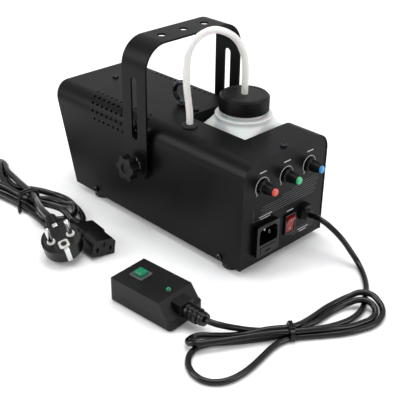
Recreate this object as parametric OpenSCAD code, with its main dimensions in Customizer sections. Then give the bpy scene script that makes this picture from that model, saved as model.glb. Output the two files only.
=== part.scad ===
// Small fog machine with a wired remote and a detached mains lead.
// Origin: on the surface it stands on, midway along the cover. +X is the control panel, -X the fog outlet,
// +Y the side that the tank bay opens on, +Z up.

/* [Casing] */
// Length of the folded cover along its top
cover_l = 270; // [250:5:290]
// How far the lower edge of the slanted front stands back from its upper edge
front_slant = 30; // [20:5:40]
// Width over the cover's two sides
cover_w = 114; // [110:1:120]
// Height of the cover alone
cover_h = 104; // [100:1:110]
// Outer radius of the cover's two bends
bend_r = 17.5; // [15:0.5:20]
// Thickness of the cover's sheet
sheet_t = 1; // [0.8:0.1:1.2]
// Height of the rubber feet
foot_h = 7; // [6:1:10]

/* [Perforation] */
// Distance between holes in a row
hole_pitch = 7.3; // [7:0.1:8]
// Diameter of a vent hole
hole_d = 3; // [2:0.5:3.5]
// Rows on each bend
hole_rows = 5; // [3:1:5]
// Holes in a row
hole_count = 12; // [6:1:12]

/* [Tank] */
// Length of the bay along the cover
bay_l = 72.6; // [71:0.2:74]
// Outside width of the square bottle
bottle_w = 69; // [66:0.5:70]
// Diameter of the screw cap
cap_d = 48; // [46:1:50]
// Outside diameter of the feed hose
hose_d = 6.5; // [6:0.5:7]

/* [Handle] */
// Width of the handle's strip
strip_w = 33; // [30:1:35]
// Thickness of the handle's strip
strip_t = 2; // [2:0.5:2.5]
// Height of the handle's top above the floor
handle_top = 187.5; // [180:0.5:195]
// Outer radius of the handle's bends
handle_r = 25; // [20:1:30]
// Diameter of the three holes in the handle's web
web_hole_d = 8.5; // [6:0.5:9]
// Distance between the holes in the web
web_pitch = 27.3; // [25:0.1:28]

/* [Controls] */
// Distance between the three control knobs
knob_pitch = 32; // [30:1:33]
// Diameter of a control knob
knob_d = 10; // [9:0.5:11]

/* [Remote] */
// Length of the remote's housing
remote_l = 71.6; // [68:0.2:76]
// Width of the remote's housing
remote_w = 40.5; // [38:0.5:44]
// Height of the remote's housing
remote_h = 24; // [22:0.5:26]
// Diameter of the remote's cable
cable_d = 5; // [4.5:0.5:6]
// Diameter of the mains lead
lead_d = 6.5; // [6:0.5:7]

/* [Hidden] */
$fn = 48;

eps = 0.1;
top_z = foot_h + cover_h;
x_front = -cover_l / 2;
x_rear = cover_l / 2;
half_w = cover_w / 2;
bend_z = top_z - bend_r;
bend_y = half_w - bend_r;
slant = atan(front_slant / cover_h);
panel_x = x_rear - 1.8;
panel_t = 1.2;
panel_face = panel_x + panel_t;

perf_x = -82.9;
perf_shift = hole_pitch / 2;
row_step = 7.35;
quarter = bend_r * PI / 2;

bay_x = 24.4;
bay_y = -15.5;
bay_floor = 29;
bay_cut_z = 32;
tank_x = bay_x + bay_l / 2;
tank_y = 21.5;
bottle_low = bay_floor + 1.4;
shoulder_z = 99;
ring_z = 116;
ring_r = 27.5;
neck_r = 20;
neck_top = 132.5;
cap_low = 120;
cap_h = 15;
cap_wall = 1.8;

hose_x = 41;
hose_y = -30.3;
hose_route = [
    [41, -30.3, 84], [41, -30.3, 98], [41, -30.3, 111], [41, -30.6, 124], [40.3, -32, 138], [39.8, -33.5, 152],
    [39.8, -33.5, 166], [40.6, -31.5, 182], [43.4, -24, 194], [48.2, -11, 199.5], [53, 2, 196], [57, 13, 187],
    [59.8, 20, 172], [60.7, 21.5, 158], [60.7, 21.5, 146], [60.7, 21.5, 136], [60.7, 21.5, 126]];
pump_r = 13;
pump_low = 26;
pump_h = 54;
piston_r = 4;
pipe_route = [
    [41, -30.3, 25], [41, -30.3, 18], [38, -28.5, 14], [30, -24, 12.5], [22, -18, 12.8], [15, -12, 16],
    [12, -10, 24], [12, -10, 45]];

heater_x = [-86, 16];
heater_w = 46;
heater_z = [36, 74];
jacket_t = 5;
heater_mid_z = (heater_z[0] + heater_z[1]) / 2;
nozzle_r = 8;
nozzle_bore_r = 2;

arm_out = 62.4;
arm_in = arm_out - strip_t;
pivot_z = 67;
slot_w = 8;
slot_z = [93, 155];
stud_r = 3;
knob_r = 12.5;

inlet_y = -25.6;
inlet_z = 35.6;
flange_w = 30;
flange_z = [15.6, 47.2];
flange_t = 5;
switch_y = 8.8;
switch_z = 31.6;
rocker_tilt = 9;
knob_z = 84.4;
gland_y = 28.5;
gland_z = 35.5;
gland_end = 143;

foot_x = [-73, 115];
foot_y = 46.5;
foot_r = 9;

remote_x = 114;
remote_y = -139;
remote_turn = 4.6;
seam_z = 10.5;
button_x = -17;
relief_z = 13;
relief_end = 56;

run_route = [
    [143, 28.5, 35.5], [155, 28.5, 34.7], [166, 30, 31], [175, 34, 24.7], [184, 38.5, 14.5],
    [191, 40.5, 6.5], [200, 36.5, 3.2], [209, 28, 3], [218, 18, 3], [227, 7, 3], [232, -1, 3]];
end_route = [
    [169.8, -134.5, 13], [174, -132.5, 11.5], [180, -126, 7.5], [187, -118, 4.5], [196, -108.5, 3.2]];
tie_x = 220;
tie_y = -87;

plug_at = [1, -154, 23.8];
plug_turn = [16, -14.5, 69];
connector_at = [23.5, -122.3, 9.9];
connector_turn = [-8, 0, -7];
connector_l = 50;
mains_tie_x = -93;
mains_tie_y = -117;
plug_tail_route = [
    [-33.5, -141.7, 26.5], [-41, -139.5, 27.5], [-50, -136, 27], [-59, -132, 25], [-68, -128, 22], [-77, -123.5, 17]];
connector_tail_route = [[-26.1, -116.2, 9.9], [-33, -115.5, 11], [-41, -115, 14], [-50, -114.6, 16], [-60, -114.2, 15]];

// ---------- helpers ----------

module along_x(x0, x1) {
    translate([x0, 0, 0]) rotate([90, 0, 90]) linear_extrude(x1 - x0) children();
}

module along_y(y0, y1) {
    translate([0, y1, 0]) rotate([90, 0, 0]) linear_extrude(y1 - y0) children();
}

module rod_x(x0, x1, r) {
    translate([x0, 0, 0]) rotate([0, 90, 0]) cylinder(h = x1 - x0, r = r);
}

module rod_y(y0, y1, r) {
    translate([0, y0, 0]) rotate([-90, 0, 0]) cylinder(h = y1 - y0, r = r);
}

// Rectangle centred on the origin with round corners
module rounded_rect(w, h, r) {
    square([w - 2 * r, h], center = true);
    square([w, h - 2 * r], center = true);
    for (x = [-1, 1], y = [-1, 1])
        translate([x * (w / 2 - r), y * (h / 2 - r)]) circle(r);
}

// Outline of the folded cover across its width, open end down
module arch(w, top, r, low) {
    translate([-w, low]) square([2 * w, top - r - low]);
    translate([-w + r, top - r - 1]) square([2 * (w - r), r + 1]);
    for (s = [-1, 1]) translate([s * (w - r), top - r]) circle(r);
}

// Smooth curve through the points of a route, with steps pieces between neighbours
function bend(a, b, c, d, t) = 0.5 * (2 * b + (c - a) * t + (2 * a - 5 * b + 4 * c - d) * t * t
    + (3 * b - a - 3 * c + d) * t * t * t);
function at(p, i) = p[max(0, min(len(p) - 1, i))];
function smooth(p, steps) = [
    for (i = [0:len(p) - 2], k = [0:steps - 1]) bend(at(p, i - 1), p[i], p[i + 1], at(p, i + 2), k / steps),
    p[len(p) - 1]];
function unit(v) = v / norm(v);
function heading(p, i) = unit(at(p, i + 1) - at(p, i - 1));

// Round tube along a route; ref is a direction that the route never points in
module tube_along(route, d, sides, ref, steps) {
    p = smooth(route, steps);
    n = len(p);
    pts = [for (i = [0:n - 1]) let (t = heading(p, i), u = unit(cross(t, ref)), v = cross(u, t))
        for (k = [0:sides - 1]) p[i] + d / 2 * (u * cos(360 * k / sides) + v * sin(360 * k / sides))];
    walls = [for (i = [0:n - 2], k = [0:sides - 1]) let (a = i * sides + k, b = i * sides + (k + 1) % sides)
        for (f = [[a, b, b + sides], [a, b + sides, a + sides]]) f];
    ends = [[for (k = [sides - 1:-1:0]) k], [for (k = [0:sides - 1]) (n - 1) * sides + k]];
    polyhedron(points = pts, faces = concat(walls, ends));
}

// Pan-head machine screw, head up, its head's seat at z = 0
module pan_screw(head_d, head_h, shank_d, shank_l) {
    difference() {
        union() {
            cylinder(h = head_h * 0.55, d = head_d);
            translate([0, 0, head_h * 0.55]) cylinder(h = head_h * 0.45, d1 = head_d, d2 = head_d * 0.66);
        }
        for (a = [0, 90]) rotate(a) translate([-head_d * 0.28, -0.4, head_h * 0.45]) cube([head_d * 0.56, 0.8, head_h]);
    }
    translate([0, 0, -shank_l]) cylinder(h = shank_l + eps, d = shank_d);
}

module at_remote() {
    translate([remote_x, remote_y, 0]) rotate(remote_turn) children();
}

// The front panel's own frame: x across the plate outwards, its middle on the slanted front
module at_front() {
    translate([x_front + front_slant / 2, 0, foot_h + cover_h / 2]) rotate([0, -slant, 0]) children();
}

// ---------- casing ----------

module vent_holes() {
    for (s = [-1, 1], i = [0:hole_rows - 1], k = [0:hole_count - 1]) {
        arc = row_step * i;
        turn = min(arc, quarter) / bend_r * 180 / PI;
        drop = max(0, arc - quarter);
        translate([perf_x + perf_shift * i + hole_pitch * k, s * bend_y, bend_z - drop])
            rotate([-s * turn, 0, 0]) translate([0, 0, bend_r - 3]) cylinder(h = 5, d = hole_d);
    }
}

module front_cut() {
    along_y(-half_w - 5, half_w + 5)
        polygon([[x_front, top_z + eps], [x_front + front_slant, foot_h], [x_front + front_slant, 0],
            [x_front - 9, 0], [x_front - 9, top_z + eps]]);
}

module cover() {
    color([0.07, 0.07, 0.075])
    difference() {
        along_x(x_front, x_rear) difference() {
            arch(half_w, top_z, bend_r, foot_h);
            arch(half_w - sheet_t, top_z - sheet_t, bend_r - sheet_t, foot_h - 1);
        }
        front_cut();
        vent_holes();
        translate([bay_x, bay_y, bay_cut_z]) cube([bay_l, half_w * 2, cover_h]);
        for (x = [-104, 17.4, 129]) translate([x, 0, top_z - 3]) cylinder(h = 6, d = 3.4);
        for (x = [-71, 109], s = [-1, 1])
            translate([x, s * half_w, foot_h + 4]) rotate([90, 0, 0]) cylinder(h = 6, d = 3.4, center = true);
        translate([-1, 0, top_z - 3]) cylinder(h = 6, d = 6.4);
        translate([hose_x, hose_y, top_z - 3]) cylinder(h = 6, d = 12);
        for (s = [-1, 1])
            translate([0, s * half_w, pivot_z]) rotate([90, 0, 0]) cylinder(h = 6, d = 6.4, center = true);
    }
}

module base_plate() {
    x0 = x_front + front_slant + 5.5;
    color([0.09, 0.09, 0.095])
    difference() {
        union() {
            translate([x0, -half_w + sheet_t + 0.1, foot_h + 0.2])
                cube([panel_x - 0.1 - x0, cover_w - 2 * sheet_t - 0.2, 1.2]);
            for (s = [-1, 1])
                translate([x0, s > 0 ? half_w - sheet_t - 1.3 : -half_w + sheet_t + 0.1, foot_h + 0.2])
                    cube([panel_x - 0.1 - x0, 1.2, 11]);
        }
        for (x = foot_x, s = [-1, 1]) translate([x, s * foot_y, foot_h - 1]) cylinder(h = 4, d = 4.4);
        for (x = [-71, 109], s = [-1, 1])
            translate([x, s * (half_w - 2), foot_h + 4]) rotate([90, 0, 0]) cylinder(h = 6, d = 3.4, center = true);
        for (k = [0:6]) translate([-45 + 11 * k, 0, foot_h]) linear_extrude(3) rounded_rect(4, 40, 1.9);
        for (s = [-1, 1]) translate([127, s * 36, foot_h - 1]) cylinder(h = 4, d = 3.4);
    }
}

module chamfered_slot(w, h, c) {
    polygon([[-w / 2, -h / 2], [w / 2, -h / 2], [w / 2, h / 2 - c], [w / 2 - c, h / 2], [-w / 2 + c, h / 2],
        [-w / 2, h / 2 - c]]);
}

module rear_panel() {
    color([0.08, 0.08, 0.085])
    difference() {
        union() {
            along_x(panel_x, panel_face)
                arch(half_w - sheet_t - 0.3, top_z - sheet_t - 0.3, bend_r - sheet_t - 0.3, foot_h);
            translate([panel_x - 11, -18, top_z - sheet_t - 1.5]) cube([11 + eps, 36, 1.2]);
            translate([panel_x - 11, -44, foot_h + 1.5]) cube([11 + eps, 88, 1.2]);
        }
        translate([129, 0, top_z - 4]) cylinder(h = 5, d = 3);
        for (s = [-1, 1]) translate([127, s * 36, foot_h]) cylinder(h = 5, d = 3);
        along_x(panel_x - 1, panel_face + 1) {
            translate([inlet_y, (flange_z[0] + flange_z[1]) / 2]) square([27, 28.4], center = true);
            translate([switch_y, switch_z]) square([12.6, 19], center = true);
            translate([gland_y, gland_z]) circle(5.6);
            for (k = [-1:1]) translate([k * knob_pitch, knob_z]) circle(3.6);
        }
    }
}

module front_panel() {
    color([0.08, 0.08, 0.085])
    difference() {
        intersection() {
            at_front() translate([2.6, -half_w, -80]) cube([1.2, cover_w, 160]);
            along_x(x_front, 0) arch(half_w - sheet_t - 0.3, top_z - sheet_t - 0.3, bend_r - sheet_t - 0.3, foot_h + 1.7);
        }
        translate([0, 0, heater_mid_z]) rod_x(x_front - 5, x_front + 45, nozzle_r + 2);
        at_front() for (s = [-1, 1], k = [-1:1])
            translate([0, s * 34, 3 + 21 * k]) rod_x(0, 6, 5.2);
    }
}

module tank_bay() {
    color([0.1, 0.1, 0.105])
    difference() {
        translate([bay_x - 1, bay_y - 1, bay_floor - 1]) cube([bay_l + 2, half_w - sheet_t - 0.3 - bay_y + 1, top_z - 1.2 - bay_floor + 1]);
        translate([bay_x, bay_y, bay_floor]) cube([bay_l, half_w * 2, cover_h]);
        // the far upper edge follows the cover's bend
        translate([bay_x - 5, half_w - bend_r, top_z - bend_r]) difference() {
            cube([bay_l + 10, bend_r + 5, bend_r + 5]);
            translate([-1, 0, 0]) rod_x(0, bay_l + 12, bend_r - sheet_t - 0.3);
        }
    }
}

module heater_block() {
    color([0.75, 0.76, 0.78])
    difference() {
        translate([heater_x[0], -heater_w / 2, heater_z[0]])
            cube([heater_x[1] - heater_x[0], heater_w, heater_z[1] - heater_z[0]]);
        translate([0, 0, heater_mid_z]) rod_x(heater_x[0] - 1, heater_x[0] + 14, 5);
        translate([12, -10, heater_z[0] - 1]) cylinder(h = 12, r = 2.2);
    }
}

module heater_jacket() {
    j = jacket_t;
    color([0.86, 0.84, 0.78])
    difference() {
        translate([heater_x[0] - j, -heater_w / 2 - j, heater_z[0] - 0.2])
            cube([heater_x[1] - heater_x[0] + j, heater_w + 2 * j, heater_z[1] - heater_z[0] + j + 0.2]);
        translate([heater_x[0] - 0.2, -heater_w / 2 - 0.2, heater_z[0] - 1])
            cube([heater_x[1] - heater_x[0] + 1, heater_w + 0.4, heater_z[1] - heater_z[0] + 1.2]);
        translate([0, 0, heater_mid_z]) rod_x(heater_x[0] - 9, heater_x[0], nozzle_r + 1);
        translate([-30, 0, heater_z[1]]) cylinder(h = 20, r = 9);
    }
}

module heater_brackets() {
    color([0.7, 0.71, 0.73])
    for (x = [-80, -5]) translate([x, 0, 0]) {
        translate([-6, -20, heater_z[0] - 1.6]) cube([12, 40, 1.4]);
        for (s = [-1, 1]) translate([-6, s * 20 - 0.7, foot_h + 1.5]) cube([12, 1.4, heater_z[0] - 1.6 - foot_h - 1.5 + 0.3]);
    }
}

module thermostat() {
    color([0.82, 0.8, 0.74])
    translate([-30, 0, heater_z[1] + 0.1]) {
        cylinder(h = 6, r = 8.4);
        translate([0, 0, 6]) cylinder(h = 4, r = 6);
        for (s = [-1, 1]) translate([s * 4 - 0.4, -1.6, 9]) cube([0.8, 3.2, 7]);
    }
}

module nozzle() {
    color([0.8, 0.68, 0.4])
    translate([0, 0, heater_mid_z])
    difference() {
        union() {
            rod_x(heater_x[0] - 34, heater_x[0] + 13.5, 4.8);
            rod_x(heater_x[0] - 42, heater_x[0] - 33, nozzle_r);
            translate([heater_x[0] - 47, 0, 0]) rotate([0, 90, 0]) cylinder(h = 5.1, r1 = 5, r2 = nozzle_r);
            rod_x(heater_x[0] - 4, heater_x[0] - 0.3, nozzle_r);
        }
        rod_x(heater_x[0] - 50, heater_x[0] + 15, nozzle_bore_r);
    }
}

module pump_body() {
    color([0.2, 0.2, 0.22])
    translate([hose_x, hose_y, 0])
    difference() {
        union() {
            translate([0, 0, pump_low]) cylinder(h = pump_h, r = 9);
            translate([0, 0, pump_low + 10]) cylinder(h = 28, r = pump_r);
            for (z = [pump_low + 6, pump_low + 38]) translate([-12, -12, z]) cube([24, 24, 4]);
            translate([-12, -14.5, pump_low + 6]) cube([24, 2.6, 36]);
            translate([0, 0, pump_low + pump_h]) cylinder(h = 4, r = 4.5);
            translate([0, 0, pump_low - 1]) cylinder(h = 2, r = 4.5);
        }
        translate([0, 0, pump_low + 12]) cylinder(h = 36, r = piston_r + 0.05);
        translate([0, 0, pump_low - 5]) cylinder(h = pump_h + 20, r = 1.6);
    }
}

module pump_piston() {
    color([0.72, 0.73, 0.75])
    translate([hose_x, hose_y, pump_low + 17])
    difference() {
        cylinder(h = 26, r = piston_r);
        translate([0, 0, -1]) cylinder(h = 28, r = 1.2);
    }
}

module outlet_pipe() {
    color([0.78, 0.5, 0.32]) tube_along(pipe_route, 4, 8, [0.4, -0.9, 0.05], 1);
}

module control_board() {
    color([0.1, 0.35, 0.18])
    difference() {
        translate([-80, 44, 16]) cube([90, 1.6, 52]);
        for (x = [-76, 6], z = [23, 64]) translate([x, 0, z]) rod_y(40, 50, 1.7);
    }
    // relay, capacitors and terminal block on the side that faces the heater
    color([0.15, 0.2, 0.5]) translate([-40, 32, 24]) cube([16, 12.1, 19]);
    color([0.1, 0.1, 0.12]) for (k = [0:2]) translate([-66 + 9 * k, 0, 34]) rod_y(33, 44.1, 3.8);
    color([0.2, 0.5, 0.25]) translate([-20, 34, 52]) cube([24, 10.1, 9]);
    color([0.8, 0.8, 0.8]) for (x = [-76, 6], z = [23, 64]) translate([x, 0, z]) difference() {
        rod_y(45.5, 55.6, 3);
        rod_y(41, 52, 1.6);
    }
}

module led_board() {
    color([0.1, 0.3, 0.16])
    intersection() {
        at_front() for (s = [-1, 1]) translate([9.2, s * 34 - 8, -28]) cube([1.6, 16, 62]);
        along_x(x_front, 0) arch(half_w - 2, top_z - 2.5, bend_r - 2, foot_h + 3);
    }
    color([0.75, 0.75, 0.75]) at_front() for (s = [-1, 1], z = [-7.5, 13.5])
        translate([3.9, s * 34, z]) rod_x(0, 5.4, 1.5);
}

module led_lenses() {
    color([0.9, 0.92, 0.95, 0.6])
    at_front() for (s = [-1, 1], k = [-1:1]) translate([0, s * 34, 3 + 21 * k]) {
        rod_x(1.2, 6.2, 5);
        rod_x(4, 9.1, 6);
    }
}

module feet() {
    color([0.05, 0.05, 0.05])
    for (x = foot_x, s = [-1, 1]) translate([x, s * foot_y, 0]) difference() {
        union() {
            cylinder(h = 1.4, r1 = foot_r - 1, r2 = foot_r);
            translate([0, 0, 1.4]) cylinder(h = foot_h - 1.4 + 0.1, r = foot_r);
        }
        translate([0, 0, -1]) cylinder(h = 4.4, r = 4.2);
        translate([0, 0, -1]) cylinder(h = foot_h + 3, r = 2.1);
    }
}

module casing_screws() {
    color([0.12, 0.12, 0.13]) {
        for (x = [-104, 17.4, 129]) translate([x, 0, top_z + 0.02]) pan_screw(6.6, 2.3, 2.8, 5);
        for (x = [-71, 109], s = [-1, 1])
            translate([x, s * (half_w + 0.02), foot_h + 4]) rotate([-s * 90, 0, 0]) pan_screw(6.6, 2.3, 2.8, 5);
        for (s = [-1, 1]) translate([127, s * 36, foot_h - 0.02]) rotate([180, 0, 0]) pan_screw(5.6, 2, 2.8, 4.6);
        for (x = foot_x, s = [-1, 1])
            translate([x, s * foot_y, 3.3]) rotate([180, 0, 0]) pan_screw(7.4, 2.2, 3.9, 8);
    }
}

module eye_bolt() {
    color([0.05, 0.05, 0.055])
    translate([-1, 0, 0]) {
        translate([0, 0, top_z + 13.6]) rotate([0, 0, 10]) rotate([90, 0, 0]) rotate_extrude() translate([9.3, 0]) circle(2.3);
        translate([0, 0, top_z]) cylinder(h = 2, r = 5.5);
        translate([0, 0, top_z + 1.9]) cylinder(h = 2.9, r1 = 5.5, r2 = 3.2);
        translate([0, 0, top_z - 8]) cylinder(h = 8.1, r = 3);
        translate([0, 0, top_z - 5.4]) cylinder(h = 4.3, r = 5.4, $fn = 6);
    }
}

module hose_grommet() {
    color([0.08, 0.08, 0.08])
    translate([hose_x, hose_y, top_z]) rotate_extrude()
        polygon([[hose_d / 2 + 0.15, -3.6], [6.6, -3.6], [7.4, -1.1], [5.9, -1.1], [5.9, 0.1], [7.6, 0.1], [7.2, 1.7],
            [hose_d / 2 + 0.9, 2.6], [hose_d / 2 + 0.15, 2.4]]);
}

// ---------- tank ----------

module feed_hose() {
    color([0.93, 0.93, 0.9]) tube_along(hose_route, hose_d, 12, [0.94, -0.34, 0.01], 2);
}

module bottle_outline(w) {
    rounded_rect(w, w, 9);
}

module bottle_solid(grow) {
    w = bottle_w + 2 * grow;
    translate([0, 0, bottle_low - grow]) linear_extrude(shoulder_z - bottle_low + grow + 0.05) bottle_outline(w);
    hull() {
        translate([0, 0, shoulder_z]) linear_extrude(0.1) bottle_outline(w);
        translate([0, 0, ring_z - 3]) cylinder(h = 0.1, r = ring_r - 1 + grow);
    }
}

module bottle() {
    color([0.93, 0.94, 0.92, 0.75])
    translate([tank_x, tank_y, 0])
    difference() {
        union() {
            bottle_solid(0);
            translate([0, 0, ring_z - 3.05]) cylinder(h = 3.1, r = ring_r);
            translate([0, 0, ring_z]) cylinder(h = neck_top - ring_z, r = neck_r);
        }
        bottle_solid(-1.4);
        translate([0, 0, ring_z - 6]) cylinder(h = 30, r = neck_r - 1.6);
    }
}

module cap_liner() {
    color([0.9, 0.9, 0.88])
    translate([tank_x, tank_y, neck_top + 0.05]) difference() {
        cylinder(h = 0.6, r = neck_r);
        translate([0, 0, -1]) cylinder(h = 3, r = hose_d / 2 + 0.3);
    }
}

// Cap's ribbed outline: a fine tooth every 5 degrees
function ribs(r, depth, count) = [for (i = [0:2 * count - 1]) let (q = i % 2 == 0 ? r : r - depth)
    [q * cos(180 * i / count), q * sin(180 * i / count)]];

module bottle_cap() {
    color([0.06, 0.06, 0.06])
    translate([tank_x, tank_y, cap_low]) difference() {
        union() {
            linear_extrude(cap_h - 1.6) polygon(ribs(cap_d / 2, 0.7, 60));
            translate([0, 0, cap_h - 1.65]) cylinder(h = 1.65, r1 = cap_d / 2 - 0.7, r2 = cap_d / 2 - 2);
        }
        translate([0, 0, -1]) cylinder(h = cap_h - 0.7, r = neck_r + 0.35);
        translate([0, 0, -1]) cylinder(h = cap_h + 3, r = hose_d / 2 + 0.3);
    }
}

module dip_tube() {
    color([0.93, 0.93, 0.9]) translate([tank_x, tank_y, 0]) {
        difference() {
            translate([0, 0, 40]) cylinder(h = 85.8, r = 3);
            translate([0, 0, 39]) cylinder(h = 88, r = 2);
        }
    }
    color([0.75, 0.7, 0.55]) translate([tank_x, tank_y, bottle_low + 2]) cylinder(h = 40 - bottle_low - 2, r = 5);
}

// ---------- handle ----------

// Knob and stud holes and the long slots go through both arms; the strip's ends are round
module handle_bracket() {
    color([0.08, 0.08, 0.085])
    difference() {
        union() {
            along_x(-strip_w / 2, strip_w / 2) intersection() {
                difference() {
                    arch(arm_out, handle_top, handle_r, pivot_z - 1);
                    arch(arm_in, handle_top - strip_t, handle_r - strip_t, pivot_z - 5);
                }
                translate([-100, pivot_z]) square([200, 200]);
            }
            for (s = [-1, 1]) translate([0, s > 0 ? 0 : -arm_in - arm_out, pivot_z]) rod_y(arm_in, arm_out, strip_w / 2);
        }
        translate([0, 0, pivot_z]) rod_y(-80, 80, stud_r + 0.3);
        along_y(-80, 80) translate([0, (slot_z[0] + slot_z[1]) / 2])
            rounded_rect(slot_w, slot_z[1] - slot_z[0], slot_w / 2 - 0.01);
        for (k = [-1:1]) translate([0, k * web_pitch, handle_top - 5]) cylinder(h = 10, d = web_hole_d);
    }
}

module friction_discs() {
    color([0.1, 0.1, 0.1])
    for (s = [-1, 1]) translate([0, s > 0 ? 0 : -half_w - arm_in, pivot_z]) difference() {
        rod_y(half_w + 0.02, arm_in - 0.1, 10);
        rod_y(half_w - 1, arm_in + 1, stud_r + 0.3);
    }
}

// One side's clamp washer, s is +1 on the far side and -1 on the near side
module washer(s) {
    color([0.6, 0.6, 0.62])
    translate([0, s > 0 ? 0 : -2 * arm_out - 1.5, pivot_z]) difference() {
        rod_y(arm_out + 0.1, arm_out + 1.4, 8);
        rod_y(arm_out - 1, arm_out + 3, stud_r + 0.05);
    }
}

// Lobed hand knob with its stud through the arm and the cover
module star_knob(s) {
    color([0.07, 0.07, 0.07])
    mirror([0, s > 0 ? 0 : 1, 0]) translate([0, arm_out + 1.5, pivot_z]) {
        rod_y(0, 3.2, 7.5);
        rotate([-90, 0, 0]) translate([0, 0, 3.1]) difference() {
            linear_extrude(9) union() {
                circle(knob_r - 2.6);
                for (k = [0:5]) rotate(60 * k) translate([knob_r - 3.4, 0]) circle(3.4);
            }
            translate([0, 0, 7.6]) cylinder(h = 3, r = 5.2);
        }
        rod_y(-13, 0.1, stud_r);
    }
}

module near_washer() { washer(-1); }
module far_washer() { washer(1); }
module near_star_knob() { star_knob(-1); }
module far_star_knob() { star_knob(1); }

// ---------- control panel ----------

module inlet_housing() {
    mid = (flange_z[0] + flange_z[1]) / 2;
    color([0.05, 0.05, 0.05])
    difference() {
        union() {
            along_x(panel_face + 0.02, panel_face + flange_t) translate([inlet_y, mid])
                rounded_rect(flange_w, flange_z[1] - flange_z[0], 2);
            along_x(panel_face - 24, panel_face + 1) translate([inlet_y, mid]) square([26.6, 28], center = true);
        }
        along_x(panel_face - 13, panel_face + 9) translate([inlet_y, inlet_z]) chamfered_slot(24, 16.4, 3.4);
        along_x(panel_face - 16.4, panel_face + 9) translate([inlet_y, 21]) square([21, 7.2], center = true);
    }
}

module inlet_pins() {
    color([0.8, 0.8, 0.78])
    for (p = [[0, 3.4], [-7, -1.6], [7, -1.6]])
        translate([panel_face - 13.1, inlet_y + p[0] - 1, inlet_z + p[1] - 2]) {
            cube([13, 2, 4]);
            translate([-19, 0.6, 0]) cube([8, 0.8, 4]);
        }
}

module fuse_drawer() {
    color([0.06, 0.06, 0.06])
    translate([panel_face, inlet_y, 21]) difference() {
        union() {
            translate([-15.8, -10.2, -3.3]) cube([21.2, 20.4, 6.6]);
            translate([5.3, -3, -2.6]) cube([0.9, 6, 1.6]);
        }
        translate([-15, -9, -1.6]) cube([6, 18, 8]);
    }
}

module fuse() {
    color([0.85, 0.86, 0.86]) translate([panel_face - 12.2, inlet_y, 21.9]) rod_y(-8.6, 8.6, 2.4);
}

module switch_frame() {
    color([0.05, 0.05, 0.05])
    difference() {
        union() {
            along_x(panel_face + 0.02, panel_face + 2) translate([switch_y, switch_z]) rounded_rect(15, 21, 1);
            along_x(panel_face - 16, panel_face + 1) translate([switch_y, switch_z]) square([12.2, 18.6], center = true);
        }
        along_x(panel_face - 9, panel_face + 5) translate([switch_y, switch_z]) square([11, 17.4], center = true);
    }
    color([0.8, 0.8, 0.78]) for (z = [-6, 0, 6])
        translate([panel_face - 24, switch_y - 2.4, switch_z + z - 0.4]) cube([8.1, 4.8, 0.8]);
}

// Curved rocker cut by a wide cylinder, resting with its lower half pressed in
module power_rocker() {
    color([0.75, 0.08, 0.06])
    translate([panel_face - 2, switch_y, switch_z]) rotate([0, rocker_tilt, 0])
    difference() {
        union() {
            translate([-3, -5.2, -7.7]) cube([8, 10.4, 15.4]);
            rod_y(-5.3, 5.3, 4);
        }
        translate([28.6, 0, 0]) rod_y(-9, 9, 25);
    }
}

module control_pots() {
    color([0.3, 0.32, 0.34])
    for (k = [-1:1]) translate([0, k * knob_pitch, knob_z]) difference() {
        union() {
            rod_x(panel_x - 13, panel_x - 5, 8);
            rod_x(panel_x - 5.1, panel_face + 2.4, 3.4);
            translate([panel_x - 12, -6, -13]) cube([1.6, 12, 10]);
        }
        rod_x(panel_x - 9, panel_face + 4, 1.55);
    }
    color([0.8, 0.8, 0.78]) for (k = [-1:1]) translate([0, k * knob_pitch, knob_z]) difference() {
        rod_x(panel_face + 0.05, panel_face + 2, 5.4, $fn = 6);
        rod_x(panel_face - 1, panel_face + 4, 3.5);
    }
}

// One control knob with its shaft; its skirt hides the nut
module knob(k) {
    color([0.05, 0.05, 0.05])
    translate([0, k * knob_pitch, knob_z]) {
        rod_x(panel_x - 8.5, panel_face + 4, 1.5);
        difference() {
            union() {
                rod_x(panel_face + 0.4, panel_face + 3, 6.8);
                translate([panel_face + 2.9, 0, 0]) rotate([0, 90, 0]) cylinder(h = 11.5, r1 = knob_d / 2 + 0.3, r2 = knob_d / 2 - 0.1);
                translate([panel_face + 2.9, -0.6, knob_d / 2 - 1]) cube([11, 1.2, 1.5]);
            }
            rod_x(panel_face, panel_face + 2.8, 5.7);
            rod_x(panel_face - 1, panel_face + 3.4, 3.8);
        }
    }
}

module knob_cap(k, shade) {
    color(shade) translate([0, k * knob_pitch, knob_z]) {
        rod_x(panel_face + 14.42, panel_face + 15.4, knob_d / 2 - 0.1);
        translate([panel_face + 15.38, 0, 0]) rotate([0, 90, 0]) cylinder(h = 0.7, r1 = knob_d / 2 - 0.1, r2 = knob_d / 2 - 0.8);
    }
}

module red_knob() { knob(-1); }
module green_knob() { knob(0); }
module blue_knob() { knob(1); }
module red_cap() { knob_cap(-1, [0.85, 0.25, 0.22]); }
module green_cap() { knob_cap(0, [0.3, 0.75, 0.5]); }
module blue_cap() { knob_cap(1, [0.25, 0.6, 0.85]); }

// Two-part strain relief bush in the panel
module cable_gland() {
    color([0.04, 0.04, 0.04])
    translate([0, gland_y, gland_z]) difference() {
        union() {
            rod_x(panel_x - 9, panel_face + 1, 5.4);
            rod_x(panel_face + 0.02, panel_face + 4, 7.4);
            translate([panel_face + 3.9, 0, 0]) rotate([0, 90, 0]) cylinder(h = gland_end - panel_face - 3.9, r1 = 6.6, r2 = 5);
            translate([panel_face + 0.02, -4.5, 4]) cube([5.5, 9, 5]);
        }
        rod_x(panel_x - 12, gland_end - 4, 2);
    }
}

// ---------- remote ----------

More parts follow.
